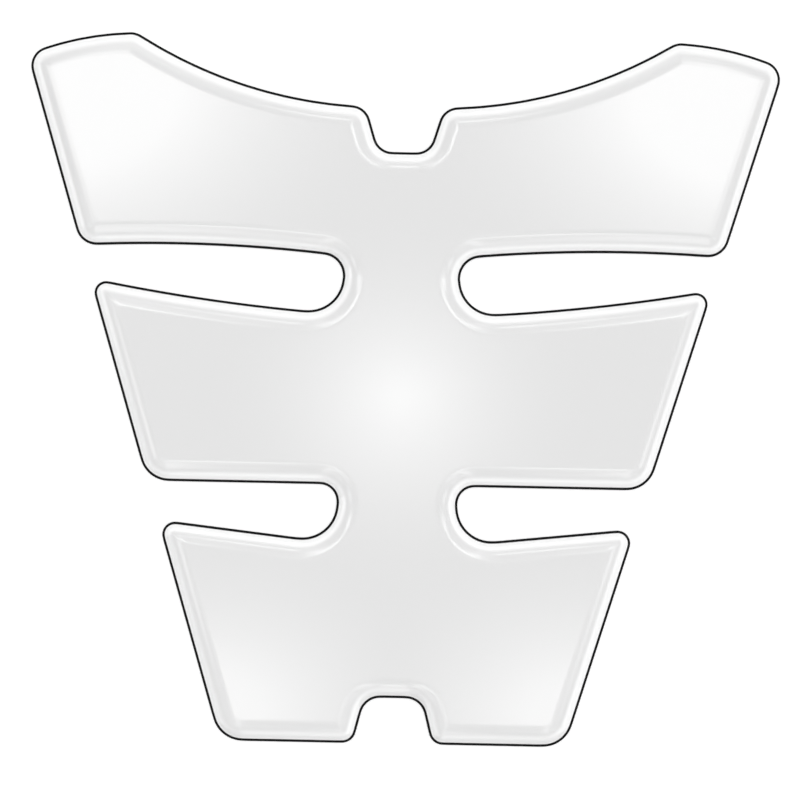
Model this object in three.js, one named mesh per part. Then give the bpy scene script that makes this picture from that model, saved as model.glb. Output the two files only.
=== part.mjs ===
// Motorcycle tank pad: a spine with three pairs of wings, in glossy domed gel on a black film.
//
// Millimetres, +Z up. The pad lies on its adhesive side with the gel uppermost. +Y points to the
// wide end, which goes nearest the handlebar, and the outline is mirrored about X = 0.
// The origin is on the adhesive side, in the middle of the pad's length and width.

import * as THREE from 'three';

// The two layers. The film shows as a thin black edge all round the gel.
const FILM_THICKNESS = 0.5;
const FILM_MARGIN = 0.65;
const GEL_HEIGHT = 2.5;

// The gel's rim: how far in it becomes flat, and how sharp a crease gets at an outer corner.
const RIM_WIDTH = 5.6;
const CREASE_RADIUS = 0.8;

// The straight sides. All three wings end on the same line, which leans outwards by some degrees.
// A width here and below is measured across the pad between corners before they are rounded.
const FOOT_WIDTH = 97.3;
const SIDE_LEAN = 16.8;

// The notch in the lower edge.
const LOWER_NOTCH_MOUTH = 22.2;
const LOWER_NOTCH_CEILING = 15.7;
const LOWER_NOTCH_DEPTH = 12.9;

// The lower wings: their height at the spine and at the side.
const LOWER_WING_ROOT = 56.4;
const LOWER_WING_TIP = 61.9;

// The lower slots, and the spine between them. Their upper edge is level.
const LOWER_SLOT_ROOT = 16.3;
const LOWER_SPINE_WIDTH = 34;

// The middle wings, whose upper edge is slightly hollow.
const MIDDLE_WING_ROOT = 48.2;
const MIDDLE_WING_TIP = 56.9;
const MIDDLE_WING_HOLLOW = 1.2;

// The upper slots, and the spine between them. Their upper edge climbs to the side in a bow.
const UPPER_SLOT_ROOT = 15.9;
const UPPER_SLOT_CLIMB = 1.7;
const UPPER_SLOT_BOW = 1.6;
const UPPER_SPINE_WIDTH = 33;

// The upper wings. Each rises from its side to a shoulder and sweeps down to the upper notch.
const UPPER_WING_SIDE = 53.7;
const SHOULDER_RISE = 6.7;
const SHOULDER_WIDTH = 152;
const SHOULDER_CROWN = 1.5;
const SWEEP_DROP = 19.5;
const SWEEP_HOLLOW = 4.6;

// The notch in the upper edge.
const UPPER_NOTCH_MOUTH = 21.9;
const UPPER_NOTCH_FLOOR = 14.1;
const UPPER_NOTCH_DEPTH = 12.8;

// Corner radii, from the lower notch up.
const LOWER_CEILING_RADIUS = 5.5;
const LOWER_LIP_RADIUS = 4;
const LOWER_WING_FOOT_RADIUS = 8.6;
const LOWER_WING_TIP_RADIUS = 3.6;
const LOWER_SLOT_FLOOR_RADIUS = 9.6;
const LOWER_SLOT_TOP_RADIUS = 4.8;
const MIDDLE_WING_FOOT_RADIUS = 8.3;
const MIDDLE_WING_TIP_RADIUS = 3.3;
const UPPER_SLOT_FLOOR_RADIUS = 10.4;
const UPPER_SLOT_TOP_RADIUS = 6.4;
const UPPER_WING_FOOT_RADIUS = 6;
const UPPER_WING_TIP_RADIUS = 5.5;
const SHOULDER_RADIUS = 6;
const UPPER_LIP_RADIUS = 5.5;
const UPPER_FLOOR_RADIUS = 5;

// How much of an edge the fillets at its two ends may take up.
const FILLET_ROOM = 0.98;

// How finely curves are divided, and how often an offset corner's place is improved.
const FILLET_STEPS = 7;
const BOW_STEP = 7;
const RIM_STEPS = 7;
const SOLVER_ROUNDS = 8;

/**
 * The right half's corners from the lower notch up, with the pad's lower edge at y = 0.
 * Each has the place where its two edges would meet and the radius that rounds it. A hollow corner
 * turns into the pad. bow is how far the edge to the next corner bulges out, or in where negative.
 */
function rightCorners() {
  const sideX = (y) => FOOT_WIDTH / 2 + y * Math.tan(THREE.MathUtils.degToRad(SIDE_LEAN));
  const lowerSlotTop = LOWER_WING_ROOT + LOWER_SLOT_ROOT;
  const middleRoot = lowerSlotTop + MIDDLE_WING_ROOT;
  const middleTip = lowerSlotTop + MIDDLE_WING_TIP;
  const upperSlotTop = middleRoot + UPPER_SLOT_ROOT;
  const upperFoot = upperSlotTop + UPPER_SLOT_CLIMB;
  const upperTip = upperFoot + UPPER_WING_SIDE;
  const shoulder = upperTip + SHOULDER_RISE;
  const lip = shoulder - SWEEP_DROP;

  const corner = (x, y, radius, bow = 0) => ({ at: new THREE.Vector2(x, y), radius, bow, hollow: false });
  const hollow = (x, y, radius, bow = 0) => ({ ...corner(x, y, radius, bow), hollow: true });
  return [
    hollow(LOWER_NOTCH_CEILING / 2, LOWER_NOTCH_DEPTH, LOWER_CEILING_RADIUS),
    corner(LOWER_NOTCH_MOUTH / 2, 0, LOWER_LIP_RADIUS),
    corner(sideX(0), 0, LOWER_WING_FOOT_RADIUS),
    corner(sideX(LOWER_WING_TIP), LOWER_WING_TIP, LOWER_WING_TIP_RADIUS),
    hollow(LOWER_SPINE_WIDTH / 2, LOWER_WING_ROOT, LOWER_SLOT_FLOOR_RADIUS),
    hollow(LOWER_SPINE_WIDTH / 2, lowerSlotTop, LOWER_SLOT_TOP_RADIUS),
    corner(sideX(lowerSlotTop), lowerSlotTop, MIDDLE_WING_FOOT_RADIUS),
    corner(sideX(middleTip), middleTip, MIDDLE_WING_TIP_RADIUS, -MIDDLE_WING_HOLLOW),
    hollow(UPPER_SPINE_WIDTH / 2, middleRoot, UPPER_SLOT_FLOOR_RADIUS),
    hollow(UPPER_SPINE_WIDTH / 2, upperSlotTop, UPPER_SLOT_TOP_RADIUS, -UPPER_SLOT_BOW),
    corner(sideX(upperFoot), upperFoot, UPPER_WING_FOOT_RADIUS),
    corner(sideX(upperTip), upperTip, UPPER_WING_TIP_RADIUS, SHOULDER_CROWN),
    corner(SHOULDER_WIDTH / 2, shoulder, SHOULDER_RADIUS, -SWEEP_HOLLOW),
    corner(UPPER_NOTCH_MOUTH / 2, lip, UPPER_LIP_RADIUS),
    hollow(UPPER_NOTCH_FLOOR / 2, lip - UPPER_NOTCH_DEPTH, UPPER_FLOOR_RADIUS),
  ];
}

/** The left half's corners, from the upper notch down: the right half mirrored and turned round. */
function mirrored(corners) {
  const bowBefore = (index) => (index > 0 ? corners[index - 1].bow : 0);
  return corners
    .map((corner, index) => ({
      ...corner,
      at: new THREE.Vector2(-corner.at.x, corner.at.y),
      bow: bowBefore(index),
    }))
    .reverse();
}

/** The edge between two corners: a straight line, or an arc where it is bowed. Inside is on its left. */
function edgeBetween(start, end) {
  const along = end.at.clone().sub(start.at);
  const chord = along.length();
  along.normalize();
  const inward = new THREE.Vector2(-along.y, along.x);
  if (start.bow === 0) return { start: start.at, chord, inward };
  const side = Math.sign(start.bow);
  const radius = ((chord / 2) ** 2 + start.bow ** 2) / Math.abs(2 * start.bow);
  const middle = start.at.clone().lerp(end.at, 0.5);
  const centre = middle.addScaledVector(inward, side * radius - start.bow);
  return { centre, radius, side, chord };
}

/** How deep inside an edge a point lies, and which way is inwards there. */
function measure(edge, point) {
  if (!edge.centre) {
    return { depth: point.clone().sub(edge.start).dot(edge.inward), inward: edge.inward.clone() };
  }
  const outward = point.clone().sub(edge.centre);
  const distance = outward.length();
  return {
    depth: edge.side * (edge.radius - distance),
    inward: outward.multiplyScalar(-edge.side / distance),
  };
}

/** The point that lies at one depth inside both edges of a corner. */
function pointInside({ at, before, after }, depth) {
  const point = at.clone();
  for (let round = 0; round < SOLVER_ROUNDS; round += 1) {
    const a = measure(before, point);
    const b = measure(after, point);
    const cross = a.inward.cross(b.inward);
    const missA = depth - a.depth;
    const missB = depth - b.depth;
    point.x += (missA * b.inward.y - missB * a.inward.y) / cross;
    point.y += (missB * a.inward.x - missA * b.inward.x) / cross;
  }
  return point;
}

/**
 * The points that round a corner, at some distance inside the outline. Further in, the arc of a
 * hollow corner grows about its own centre, and that of an outer one shrinks until it is a crease.
 */
function filletPoints(corner, inset) {
  const { radius, hollow, before, after } = corner;
  const side = hollow ? -1 : 1;
  const arcRadius = hollow ? radius + inset : Math.max(radius - inset, Math.min(radius, CREASE_RADIUS));
  const centre = pointInside(corner, inset + side * arcRadius);
  const first = measure(before, centre).inward;
  const last = measure(after, centre).inward;
  const turn = Math.atan2(first.cross(last), first.dot(last));
  return Array.from({ length: FILLET_STEPS + 1 }, (_, step) => {
    const inward = first.clone().rotateAround(new THREE.Vector2(), (turn * step) / FILLET_STEPS);
    return centre.clone().addScaledVector(inward, -side * arcRadius);
  });
}

/** The points of a bowed edge between two rounded corners, at some distance inside the outline. */
function bowPoints(edge, start, end, inset) {
  const steps = edge.centre ? Math.ceil(edge.chord / BOW_STEP) : 1;
  return Array.from({ length: steps - 1 }, (_, step) => {
    const point = start.clone().lerp(end, (step + 1) / steps);
    const { depth, inward } = measure(edge, point);
    return point.addScaledVector(inward, inset - depth);
  });
}

/** Makes radii smaller where two neighbouring ones don't fit along the edge between them. */
function fitRadii(corners) {
  const fillets = corners.map((corner) => filletPoints(corner, 0));
  const room = corners.map(({ at, after }, index) => {
    const next = (index + 1) % corners.length;
    const taken = at.distanceTo(fillets[index].at(-1)) + corners[next].at.distanceTo(fillets[next][0]);
    return (FILLET_ROOM * after.chord) / taken;
  });
  return corners.map((corner, index) => ({
    ...corner,
    radius: corner.radius * Math.min(1, room[index], room.at(index - 1)),
  }));
}

/** All the pad's corners, anticlockwise, each with the edges before and after it. */
function allCorners() {
  const corners = [...rightCorners(), ...mirrored(rightCorners())];
  const edges = corners.map((corner, index) => edgeBetween(corner, corners[(index + 1) % corners.length]));
  return fitRadii(corners.map((corner, index) => {
    return { ...corner, before: edges.at(index - 1), after: edges[index] };
  }));
}

/** The outline at some distance inside the pad's edge, anticlockwise, always with as many points. */
function outlineAt(corners, inset) {
  const fillets = corners.map((corner) => filletPoints(corner, inset));
  return fillets.flatMap((fillet, index) => {
    const next = fillets[(index + 1) % fillets.length];
    return [...fillet, ...bowPoints(corners[index].after, fillet.at(-1), next[0], inset)];
  });
}

const padCorners = allCorners();
const padBox = new THREE.Box2().setFromPoints(outlineAt(padCorners, 0));
const padMiddle = padBox.getCenter(new THREE.Vector2());

/** The outline at some distance inside the pad's edge, about the origin. */
function placedOutline(inset) {
  return outlineAt(padCorners, inset).map((point) => point.sub(padMiddle));
}

/** The film: the whole outline, cut from a flat sheet. */
function filmGeometry() {
  const shape = new THREE.Shape(placedOutline(0));
  return new THREE.ExtrudeGeometry(shape, { depth: FILM_THICKNESS, bevelEnabled: false });
}

/** The gel: rings that climb a quarter ellipse from the film to the flat top, closed above and below. */
function gelGeometry() {
  const rings = Array.from({ length: RIM_STEPS + 1 }, (_, step) => {
    const angle = (step / RIM_STEPS) * (Math.PI / 2);
    const height = FILM_THICKNESS + GEL_HEIGHT * Math.sin(angle);
    const inset = FILM_MARGIN + RIM_WIDTH * (1 - Math.cos(angle));
    return placedOutline(inset).map((point) => new THREE.Vector3(point.x, point.y, height));
  });
  const count = rings[0].length;
  const faces = [];
  for (let ring = 0; ring < RIM_STEPS; ring += 1) {
    for (let index = 0; index < count; index += 1) {
      const here = ring * count + index;
      const beside = ring * count + ((index + 1) % count);
      faces.push(here, beside, beside + count, here, beside + count, here + count);
    }
  }
  const lid = (ring) => THREE.ShapeUtils.triangulateShape(rings[ring], []);
  const top = RIM_STEPS * count;
  for (const [a, b, c] of lid(0)) faces.push(c, b, a);
  for (const [a, b, c] of lid(RIM_STEPS)) faces.push(top + a, top + b, top + c);

  const geometry = new THREE.BufferGeometry().setFromPoints(rings.flat());
  geometry.setIndex(faces);
  geometry.computeVertexNormals();
  return geometry;
}

function piece(name, geometry, material) {
  const mesh = new THREE.Mesh(geometry, new THREE.MeshStandardMaterial(material));
  mesh.name = name;
  return mesh;
}

const group = new THREE.Group();
group.add(piece('base_film', filmGeometry(), { color: 0x0c0c0d, roughness: 0.5, metalness: 0 }));
group.add(piece('gel_dome', gelGeometry(), { color: 0xe9e9e9, roughness: 0.12, metalness: 0 }));

export default group;
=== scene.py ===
"""The looks of a motorcycle tank pad: glossy white domed gel on thin black film, lying on a white table.

Lengths are in metres, in the part's own frame: +Z out of the glossy face, +Y towards the wide end.
The gel and the film are built again, finer, from the outlines that their CAD solids have.
"""
import math

import bmesh
import bpy
import numpy as np
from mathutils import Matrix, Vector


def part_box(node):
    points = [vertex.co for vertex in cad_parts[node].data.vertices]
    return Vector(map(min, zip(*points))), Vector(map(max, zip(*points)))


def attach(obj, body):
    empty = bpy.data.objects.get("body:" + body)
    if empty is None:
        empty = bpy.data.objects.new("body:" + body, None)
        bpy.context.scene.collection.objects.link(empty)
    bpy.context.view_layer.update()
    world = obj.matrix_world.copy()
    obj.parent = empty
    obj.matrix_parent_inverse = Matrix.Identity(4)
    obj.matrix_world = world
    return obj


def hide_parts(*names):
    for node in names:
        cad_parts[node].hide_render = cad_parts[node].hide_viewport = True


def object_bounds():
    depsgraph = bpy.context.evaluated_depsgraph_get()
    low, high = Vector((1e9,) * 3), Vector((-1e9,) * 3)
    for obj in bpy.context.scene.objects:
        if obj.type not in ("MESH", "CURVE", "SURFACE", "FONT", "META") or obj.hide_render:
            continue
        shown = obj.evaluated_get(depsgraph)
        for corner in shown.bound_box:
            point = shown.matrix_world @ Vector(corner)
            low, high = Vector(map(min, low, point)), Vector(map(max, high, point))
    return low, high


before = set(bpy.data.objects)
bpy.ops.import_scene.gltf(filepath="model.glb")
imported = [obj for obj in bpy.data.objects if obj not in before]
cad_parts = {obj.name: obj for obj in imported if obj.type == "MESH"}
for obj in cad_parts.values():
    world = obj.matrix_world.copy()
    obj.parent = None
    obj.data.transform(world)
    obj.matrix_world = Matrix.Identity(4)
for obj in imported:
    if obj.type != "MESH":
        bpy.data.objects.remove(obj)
cad_low, cad_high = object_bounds()

MM = 0.001

# Points of a CAD solid that lie this close are one point, and heights this close are one height.
WELD = 0.002 * MM

# How finely the outlines and the gel's rounded rim are built.
STRETCH = 3 * MM
SOFTENINGS = 2
RIM_STEPS = 24

# How much the film's cut edge is eased above and below.
FILM_EASE = 0.06 * MM

# The flat faces end in a narrow band, so that the smooth shading of the edge stops there: how far in
# the film's band ends, and how far in the gel's ends, as a share of its rim's width.
FILM_BAND = 3 * FILM_EASE
GEL_BAND = 1.1


# Outlines read from the CAD solids


def outlines(node):
    """The level outlines of a CAD solid, lowest first, anticlockwise from the middle of the lower notch."""
    mesh = bmesh.new()
    mesh.from_mesh(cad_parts[node].data)
    bmesh.ops.remove_doubles(mesh, verts=mesh.verts, dist=WELD)
    beside = {}
    for face in mesh.faces:
        heights = [v.co.z for v in face.verts]
        if max(heights) - min(heights) < WELD:
            continue
        for a, b in (edge.verts for edge in face.edges):
            if abs(a.co.z - b.co.z) < WELD:
                beside.setdefault(a, set()).add(b)
                beside.setdefault(b, set()).add(a)
    found = []
    for left in beside:
        for right in beside[left]:
            if left.co.x < 0 <= right.co.x and right.co.y < 0:
                found.append((left.co.z, walked(left, right, beside)))
    mesh.free()
    return [ring for height, ring in sorted(found, key=lambda pair: pair[0])]


def walked(last, first, beside):
    """The points of one outline as an array, from first round to last."""
    points, before, here = [], last, first
    while True:
        points.append(here.co.xy[:])
        if here is last:
            return np.array(points)
        (following,) = beside[here] - {before}
        before, here = here, following


def filled(loops):
    """The outlines with more points along their long stretches, the same ones in each outline."""
    following = np.roll(loops, -1, axis=1)
    lengths = np.linalg.norm(following[0] - loops[0], axis=1)
    counts = np.maximum(1, np.round(lengths / STRETCH)).astype(int)
    part = np.concatenate([np.arange(n) / n for n in counts])[:, None]
    start = np.repeat(loops, counts, axis=1)
    end = np.repeat(following, counts, axis=1)
    return start + (end - start) * part


def softened(loops):
    """The outlines with twice the points, their corners eased as on a cubic spline."""
    before, after = np.roll(loops, 1, axis=1), np.roll(loops, -1, axis=1)
    corners = (before + 6 * loops + after) / 8
    middles = (loops + after) / 2
    return np.stack([corners, middles], axis=2).reshape(len(loops), -1, 2)


# The film's outline and then the gel's, each further in than the one before, and how far in they lie.
# That is read at their lowest points, where the outlines run level.
cad_rings = np.array([outlines("base_film")[0], *outlines("gel_dome")])
insets = cad_rings[:, :, 1].min(axis=1)
insets -= insets[0]
rings = filled(cad_rings)
for turn in range(SOFTENINGS):
    rings = softened(rings)


def outline_at(inset):
    """The pad's outline drawn in by that distance."""
    k = int(np.clip(np.searchsorted(insets, inset), 1, len(insets) - 1))
    share = (inset - insets[k - 1]) / (insets[k] - insets[k - 1])
    return rings[k - 1] + (rings[k] - rings[k - 1]) * share


# Solids


def solid(name, profile):
    """A closed solid on the pad's outline, from (inset, height) pairs that go from the underside up."""
    count = rings.shape[1]
    levels = [np.column_stack([outline_at(inset), np.full(count, z)]) for inset, z in profile]
    top = count * (len(levels) - 1)
    faces = [tuple(range(count))[::-1]]
    for low in range(0, top, count):
        high = low + count
        for i in range(count):
            j = (i + 1) % count
            faces.append((low + i, low + j, high + j, high + i))
    faces.append(tuple(range(top, top + count)))
    mesh = bpy.data.meshes.new(name)
    mesh.from_pydata(np.concatenate(levels).tolist(), [], faces)
    mesh.shade_smooth()
    made = bpy.data.objects.new(name, mesh)
    bpy.context.scene.collection.objects.link(made)
    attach(made, "root")
    return made


def film_profile():
    """A thin sheet whose cut edge is eased a little above and below."""
    bottom, top = (corner.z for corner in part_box("base_film"))
    lower_half = [(FILM_BAND, bottom), (FILM_EASE, bottom), (0, bottom + FILM_EASE)]
    upper_half = [(0, top - FILM_EASE), (FILM_EASE, top), (FILM_BAND, top)]
    return lower_half + upper_half


def gel_profile():
    """The gel's rim rises as a quarter of an ellipse, from upright at its foot to level at the flat top."""
    foot, crown = (corner.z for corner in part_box("gel_dome"))
    foot_inset, rim_width = insets[1], insets[-1] - insets[1]
    profile = [(foot_inset + rim_width, foot), (foot_inset, foot)]
    for step in range(1, RIM_STEPS + 1):
        angle = math.pi / 2 * step / RIM_STEPS
        inset = foot_inset + rim_width * (1 - math.cos(angle))
        profile.append((inset, foot + (crown - foot) * math.sin(angle)))
    profile.append((foot_inset + GEL_BAND * rim_width, crown))
    return profile


# Shader nodes

# Most of the noise lies between these two values.
NOISE_BAND = (0.3, 0.7)


def feed(tree, socket, value):
    """Gives a socket a value, or links it where the value is another node's output."""
    if isinstance(value, bpy.types.NodeSocket):
        tree.links.new(value, socket)
    else:
        socket.default_value = value


def calc(tree, operation, *values, clamp=False):
    """A Math node's result."""
    node = tree.nodes.new("ShaderNodeMath")
    node.operation = operation
    node.use_clamp = clamp
    for socket, value in zip(node.inputs, values):
        feed(tree, socket, value)
    return node.outputs["Value"]


def vector_calc(tree, operation, *values):
    """A Vector Math node."""
    node = tree.nodes.new("ShaderNodeVectorMath")
    node.operation = operation
    for socket, value in zip(node.inputs, values):
        feed(tree, socket, value)
    return node


def split(tree, vector):
    """A vector's X, Y and Z."""
    node = tree.nodes.new("ShaderNodeSeparateXYZ")
    feed(tree, node.inputs[0], vector)
    return node.outputs


def ramp(tree, value, low, high, from_value, to_value):
    """A smooth step from from_value at low to to_value at high."""
    node = tree.nodes.new("ShaderNodeMapRange")
    node.interpolation_type = "SMOOTHSTEP"
    for socket, given in zip(node.inputs, (value, low, high, from_value, to_value)):
        feed(tree, socket, given)
    return node.outputs["Result"]


def noise(tree, size, detail=2.0):
    """Smooth noise from 0 to 1 over the object, with features of about that size."""
    place = tree.nodes.new("ShaderNodeTexCoord").outputs["Object"]
    node = tree.nodes.new("ShaderNodeTexNoise")
    feed(tree, node.inputs["Vector"], place)
    feed(tree, node.inputs["Scale"], 1 / size)
    feed(tree, node.inputs["Detail"], detail)
    return node.outputs["Fac"]


def varied(tree, size, ends):
    """A value that drifts between two ends over the object, in patches of about that size."""
    return ramp(tree, noise(tree, size), *NOISE_BAND, *ends)


def bump(tree, height, depth):
    """A surface normal shaped by a height from 0 to 1 that stands for that depth."""
    node = tree.nodes.new("ShaderNodeBump")
    feed(tree, node.inputs["Height"], height)
    feed(tree, node.inputs["Distance"], depth)
    return node.outputs["Normal"]


# Materials

# The white of the gel's flat top, and a whiter rim, which is a painted highlight. The rim's painted
# highlight is less white at the pad's foot, which is the bottom edge and the ceiling of the lower notch:
# painted shade there.
GEL_WHITE = 0.8
RIM_PAINTED_HIGHLIGHT = 0.94
FOOT_RIM_PAINTED_SHADE = 0.84

# The heights between which the rim's painted highlight fades into the top's plain white.
RIM_PAINTED_HIGHLIGHT_ENDS = (2.05 * MM, 2.65 * MM)

# The foot's painted shade lies wholly beyond the first Y and ends at the second. A face gets it wholly
# where its normal's Y is under the first value of the facing, and not at all over the second.
FOOT_PAINTED_SHADE_ENDS = (-80 * MM, -60 * MM)
FOOT_PAINTED_SHADE_FACING = (-0.4, -0.22)

# The gel's gloss drifts in broad patches, under an even clear coat with faint waves.
GEL_ROUGHNESS = 0.05
GEL_ROUGHNESS_ENDS = (0.045, 0.065)
GEL_PATCH = 30 * MM
COAT_ROUGHNESS = 0.02
WAVE_SIZE = 14 * MM
WAVE_DEPTH = 0.002 * MM
WAVE_DETAIL = 1.0

# The film is near black, with a fine satin grain.
FILM_BLACK = (0.004, 0.004, 0.0045)
FILM_SPECULAR = 0.12
FILM_ROUGHNESS = 0.45
FILM_ROUGHNESS_ENDS = (0.38, 0.52)
FILM_PATCH = 0.8 * MM
GRAIN_SIZE = 0.25 * MM
GRAIN_DEPTH = 0.006 * MM

# The table's colour, and how much it glows to the eye so that it looks pure white.
WHITE = (1, 1, 1, 1)
TABLE_WHITE = 0.8
TABLE_ROUGHNESS = 0.9
TABLE_GLOW = 0.38


def material(name, colour, roughness, **sockets):
    """A Principled material, with its node tree and its shader."""
    made = bpy.data.materials.new(name)
    made.use_nodes = True
    made.diffuse_color = (*colour, 1)
    shader = made.node_tree.nodes["Principled BSDF"]
    shader.inputs["Base Color"].default_value = (*colour, 1)
    shader.inputs["Roughness"].default_value = roughness
    for socket, value in sockets.items():
        shader.inputs[socket.replace("_", " ")].default_value = value
    return made, made.node_tree, shader


def gel_white_with_painted_light(tree):
    """The gel's white: the top's, and a painted highlight low on the rim, dimmed by painted shade at the
    pad's foot.
    """
    coordinates = tree.nodes.new("ShaderNodeTexCoord").outputs
    place, facing = split(tree, coordinates["Object"]), split(tree, coordinates["Normal"])
    # Painted shade on the rim where it lies low at the pad's foot and faces down.
    low_down = ramp(tree, place["Y"], *FOOT_PAINTED_SHADE_ENDS, 1, 0)
    faces_down = ramp(tree, facing["Y"], *FOOT_PAINTED_SHADE_FACING, 1, 0)
    foot = calc(tree, "MULTIPLY", low_down, faces_down)
    painted_rim_light = ramp(tree, foot, 0, 1, RIM_PAINTED_HIGHLIGHT, FOOT_RIM_PAINTED_SHADE)
    # Low on the rim the white is a painted highlight; higher up it is the top's plain white.
    return ramp(tree, place["Z"], *RIM_PAINTED_HIGHLIGHT_ENDS, painted_rim_light, GEL_WHITE)


def gel_material():
    """Glossy white polyurethane with a clear, slightly wavy surface."""
    sockets = {"Coat_Weight": 1.0, "Coat_Roughness": COAT_ROUGHNESS}
    made, tree, shader = material("gel", (GEL_WHITE,) * 3, GEL_ROUGHNESS, **sockets)
    # The base colour holds the rim's painted highlight and the foot's painted shade.
    feed(tree, shader.inputs["Base Color"], gel_white_with_painted_light(tree))
    feed(tree, shader.inputs["Roughness"], varied(tree, GEL_PATCH, GEL_ROUGHNESS_ENDS))
    waves = noise(tree, WAVE_SIZE, WAVE_DETAIL)
    feed(tree, shader.inputs["Normal"], bump(tree, waves, WAVE_DEPTH))
    return made


def film_material():
    """Black vinyl film with a fine satin grain."""
    made, tree, shader = material("film", FILM_BLACK, FILM_ROUGHNESS, Specular_IOR_Level=FILM_SPECULAR)
    feed(tree, shader.inputs["Roughness"], varied(tree, FILM_PATCH, FILM_ROUGHNESS_ENDS))
    feed(tree, shader.inputs["Normal"], bump(tree, noise(tree, GRAIN_SIZE), GRAIN_DEPTH))
    return made


def lit_by_sight(tree):
    """1 for rays that come from the camera or from a glossy or clear surface, else 0."""
    path = tree.nodes.new("ShaderNodeLightPath").outputs
    seen = calc(tree, "MAXIMUM", path["Is Camera Ray"], path["Is Glossy Ray"])
    return calc(tree, "MAXIMUM", seen, path["Is Transmission Ray"])


def table_material():
    """White card that looks pure white wherever the pad doesn't shade it."""
    made, tree, shader = material("table", (TABLE_WHITE,) * 3, TABLE_ROUGHNESS, Specular_IOR_Level=0.0)
    feed(tree, shader.inputs["Emission Color"], WHITE)
    feed(tree, shader.inputs["Emission Strength"], calc(tree, "MULTIPLY", lit_by_sight(tree), TABLE_GLOW))
    return made


# The part


def dress():
    """The gel and the film, each in place of its CAD node."""
    gel = solid("gel", gel_profile())
    gel.data.materials.append(gel_material())
    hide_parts("gel_dome")
    film = solid("film", film_profile())
    film.data.materials.append(film_material())
    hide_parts("base_film")


# The studio

# Brightness of the world: the ceiling, the walls where they are brightest, and the world from where
# they end down to the horizon. The camera itself sees the world as plain white.
CEILING = 0.32
WALLS = 1.95
HORIZON = 0.85
SEEN = 1.0

# Angles in degrees from straight above: where the walls begin on the left and right, how much nearer
# to straight above they begin towards +Y and -Y, where they are brightest and where they end.
WALL_START = 39
WALL_START_RISE = 11
WALL_PEAK = 48
WALL_END = 72

# Darker stretches of the walls. Azimuths in degrees from +X: the middle and the half width. Then the
# share of their light that the walls keep there. The ends are soft over this many degrees to each side.
WALL_SHADES = {
    "left": (229, 35, 0.25),
    "foot": (274, 10, 0.65),
}
SHADE_EDGE = 1.2

# Soft oval lamps on the ceiling and high on the walls, each with a twin on the left. Angles in degrees
# from straight above: how far to the right, how far towards +Y, half width and half depth. Then how
# much of the oval is its soft edge, and the strength. A lamp is named after the place on the pad that
# mirrors it to the camera, or after the side that it is on.
LAMPS = {
    "overhead": (0, 0, 3.6, 3.6, 1.0, 2.7),
    "upper corners": (7.2, 6, 7.4, 4.9, 0.6, 2.6),
    "upper shoulders": (6.5, 11.5, 6.5, 9.5, 0.9, 2.4),
    "upper flanks": (15.5, 3.5, 12, 5, 0.7, 2.0),
    "upper slots": (6.5, 16, 7.5, 8.5, 0.8, 1.3),
    "lower slots": (7, -10, 10, 9, 0.85, 1.0),
    "lower corners": (3.4, -6, 4.6, 3.5, 0.8, 2.1),
    "flank lines": (23, -7, 10, 8.5, 0.8, 1.4),
    "feet": (16, -20, 11, 12, 0.9, 0.8),
    "undersides": (5.6, -19, 2.7, 19, 0.5, 1.5),
    "upper notch": (0, 23.5, 3, 6, 0.9, 2.4),
    "lower notch": (0, -31, 2.6, 8, 0.8, 1.7),
    "wide end": (7, 25, 8, 12, 0.85, 0.8),
    "narrow end": (7, -23.5, 7.5, 12, 0.6, 0.8),
    "narrow end's wall": (0, -52, 16, 22, 1.0, 0.75),
    "side walls": (46.5, 0, 5.5, 9, 0.3, 0.4),
}

# The table lies just under the pad and reaches this far each way.
TABLE_GAP = 0.02 * MM
TABLE_REACH = 2000 * MM

# The camera looks straight down. What it sees across is the width of the photo on the pad's plane.
CAMERA_HEIGHT = 850 * MM
VIEW_WIDTH = 225.35 * MM
VIEW_CENTRE = (0.27 * MM, -2.59 * MM)
CAMERA_ROLL = math.radians(1.159)
CLIP_START = 10 * MM


def angle_to(tree, direction, target):
    """The angle between the ray's direction and a fixed one, in degrees."""
    cosine = vector_calc(tree, "DOT_PRODUCT", direction, target).outputs["Value"]
    return calc(tree, "DEGREES", calc(tree, "ARCCOSINE", cosine))


def lamp_glow(tree, direction, lamp):
    """A soft oval lamp's part of the world's brightness."""
    *angles, edge, strength = lamp
    x, y, half_width, half_depth = (math.sin(math.radians(angle)) for angle in angles)
    offset = vector_calc(tree, "SUBTRACT", direction, (x, y, 0)).outputs["Vector"]
    scaled = vector_calc(tree, "DIVIDE", offset, (half_width, half_depth, 1)).outputs["Vector"]
    inside = calc(tree, "SUBTRACT", 1, vector_calc(tree, "LENGTH", scaled).outputs["Value"])
    share = calc(tree, "DIVIDE", inside, edge, clamp=True)
    return calc(tree, "MULTIPLY", calc(tree, "MULTIPLY", share, share), strength)


def lamps_glow(tree, direction):
    """What the lamps add to the world's brightness, the brightest one where they overlap."""
    parts = split(tree, direction)
    folded = tree.nodes.new("ShaderNodeCombineXYZ")
    feed(tree, folded.inputs["X"], calc(tree, "ABSOLUTE", parts["X"]))
    feed(tree, folded.inputs["Y"], parts["Y"])
    glow = 0.0
    for lamp in LAMPS.values():
        glow = calc(tree, "MAXIMUM", glow, lamp_glow(tree, folded.outputs["Vector"], lamp))
    return glow


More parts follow.
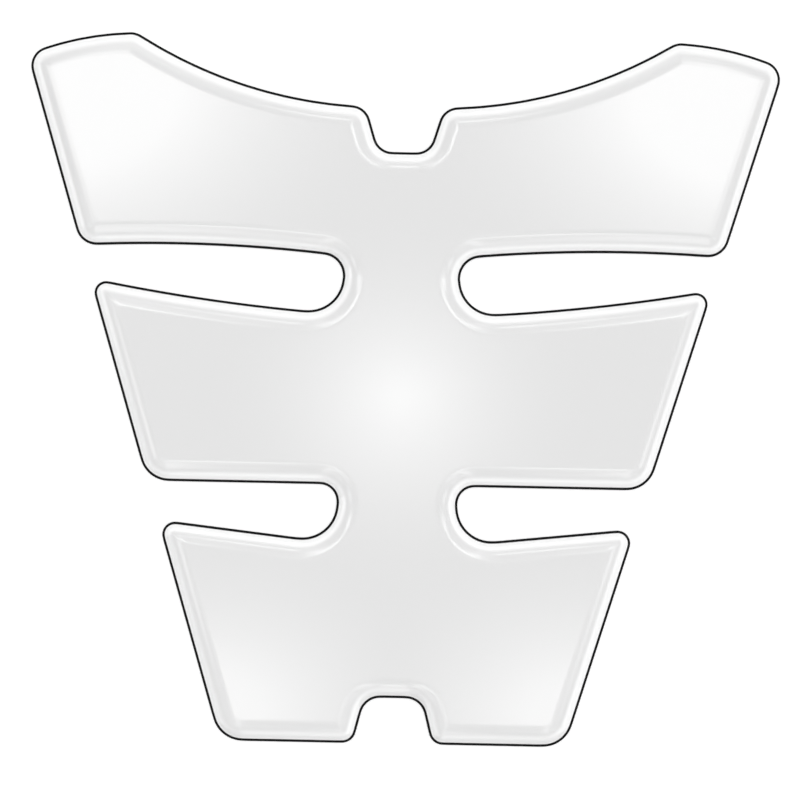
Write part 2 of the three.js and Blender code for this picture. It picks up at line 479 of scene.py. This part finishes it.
def walls_glow(tree, direction):
    """What the walls add to the ceiling's brightness."""
    tilt = angle_to(tree, direction, (0, 0, 1))
    level = vector_calc(tree, "MULTIPLY", direction, (1, 1, 0)).outputs["Vector"]
    bearing = vector_calc(tree, "NORMALIZE", level).outputs["Vector"]
    rise = calc(tree, "MULTIPLY", calc(tree, "POWER", split(tree, bearing)["Y"], 2), WALL_START_RISE)
    start = calc(tree, "SUBTRACT", WALL_START, rise)
    walls = ramp(tree, tilt, start, WALL_PEAK, 0, WALLS - CEILING)
    walls = calc(tree, "SUBTRACT", walls, ramp(tree, tilt, WALL_PEAK, WALL_END, 0, WALLS - HORIZON))
    for azimuth, half_width, kept in WALL_SHADES.values():
        middle = math.radians(azimuth)
        off = angle_to(tree, bearing, (math.cos(middle), math.sin(middle), 0))
        share = ramp(tree, off, half_width - SHADE_EDGE, half_width + SHADE_EDGE, kept, 1)
        walls = calc(tree, "MULTIPLY", walls, share)
    return walls


def build_world():
    """A pale studio: a grey ceiling with soft lamps, bright walls from half way down, white to the eye."""
    world = bpy.data.worlds.new("studio")
    bpy.context.scene.world = world
    world.use_nodes = True
    tree = world.node_tree
    direction = tree.nodes.new("ShaderNodeTexCoord").outputs["Generated"]
    lamps, walls = lamps_glow(tree, direction), walls_glow(tree, direction)
    glow = calc(tree, "ADD", calc(tree, "ADD", lamps, walls), CEILING)
    strength = tree.nodes.new("ShaderNodeMix")
    feed(tree, strength.inputs["Factor"], tree.nodes.new("ShaderNodeLightPath").outputs["Is Camera Ray"])
    feed(tree, strength.inputs["A"], glow)
    feed(tree, strength.inputs["B"], SEEN)
    background = tree.nodes["Background"]
    feed(tree, background.inputs["Strength"], strength.outputs["Result"])
    feed(tree, background.inputs["Color"], WHITE)


def build_table():
    """A wide white table just under the pad."""
    mesh = bpy.data.meshes.new("table")
    signs = ((-1, -1), (1, -1), (1, 1), (-1, 1))
    corners = [(x * TABLE_REACH, y * TABLE_REACH, cad_low.z - TABLE_GAP) for x, y in signs]
    mesh.from_pydata(corners, [], [(0, 1, 2, 3)])
    table = bpy.data.objects.new("table", mesh)
    bpy.context.scene.collection.objects.link(table)
    mesh.materials.append(table_material())


def build_camera():
    """A long lens straight above, turned a little as the photo is."""
    data = bpy.data.cameras.new("camera")
    data.lens = data.sensor_width * CAMERA_HEIGHT / VIEW_WIDTH
    data.clip_start = CLIP_START
    camera = bpy.data.objects.new("camera", data)
    camera.location = (*VIEW_CENTRE, CAMERA_HEIGHT)
    camera.rotation_euler = (0, 0, CAMERA_ROLL)
    bpy.context.scene.collection.objects.link(camera)
    bpy.context.scene.camera = camera


dress()
build_world()
build_table()
build_camera()
bpy.context.scene.view_settings.view_transform = "Standard"
